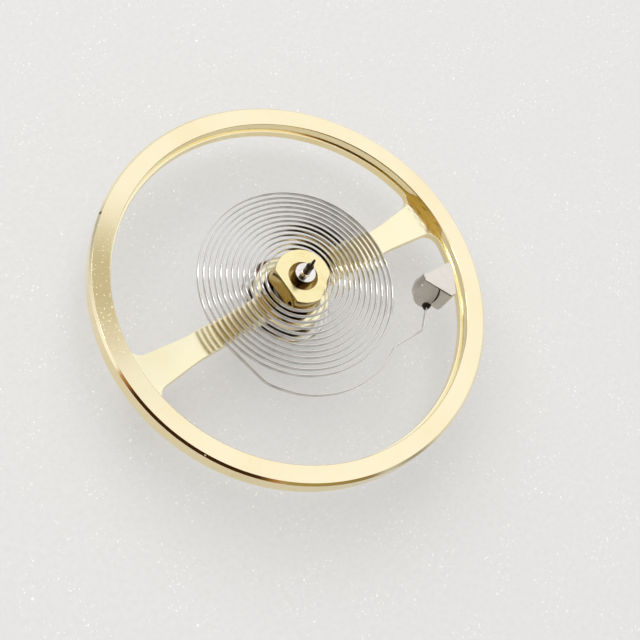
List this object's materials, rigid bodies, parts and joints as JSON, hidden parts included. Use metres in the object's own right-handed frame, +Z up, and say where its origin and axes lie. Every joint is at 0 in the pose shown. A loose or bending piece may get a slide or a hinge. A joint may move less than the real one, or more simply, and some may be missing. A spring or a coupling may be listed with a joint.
{
  "type": "balance wheel",
  "caption": "Two-arm watch balance wheel on its staff, with collet, flat hairspring, stud and double roller with impulse jewel.",
  "frame": {"origin": "tip of the lower pivot, on the axis of the balance staff", "axes": "+Z up the staff from the rollers to the collet, +X along one arm of the wheel, +Y across the arms"},
  "size_m": [0.01, 0.01, 0.0034],
  "materials": {
    "gold_alloy": "polished, fine turned grain",
    "polished_steel": "mirror polished",
    "roller_steel": "polished",
    "ruby": "polished ruby",
    "shellac": "glossy, dark amber",
    "collet_brass": "turned",
    "spring_steel": "drawn and polished strip",
    "stud_steel": "polished sides",
    "dark_cement": "glossy, dark"
  },
  "bodies": {
    "stud": {"hairspring_stud": "stud_steel", "stud_cement": "dark_cement", "hairspring": "spring_steel"},
    "balance": {"balance_wheel": "gold_alloy", "balance_staff": "polished_steel", "roller_table": "roller_steel", "safety_roller": "roller_steel", "impulse_jewel": "ruby", "jewel_cement": "shellac", "collet": "collet_brass", "collet_pin": "collet_brass"}
  },
  "joints": [
    {"name": "balance_swing", "type": "hinge", "parent": "stud", "child": "balance", "pos_m": [0, 0, 0], "axis": [0, 0, 1], "range_deg": [-300, 300], "stiffness_Nm_per_rad": 0.00000057, "deforming": ["hairspring"]}
  ]
}
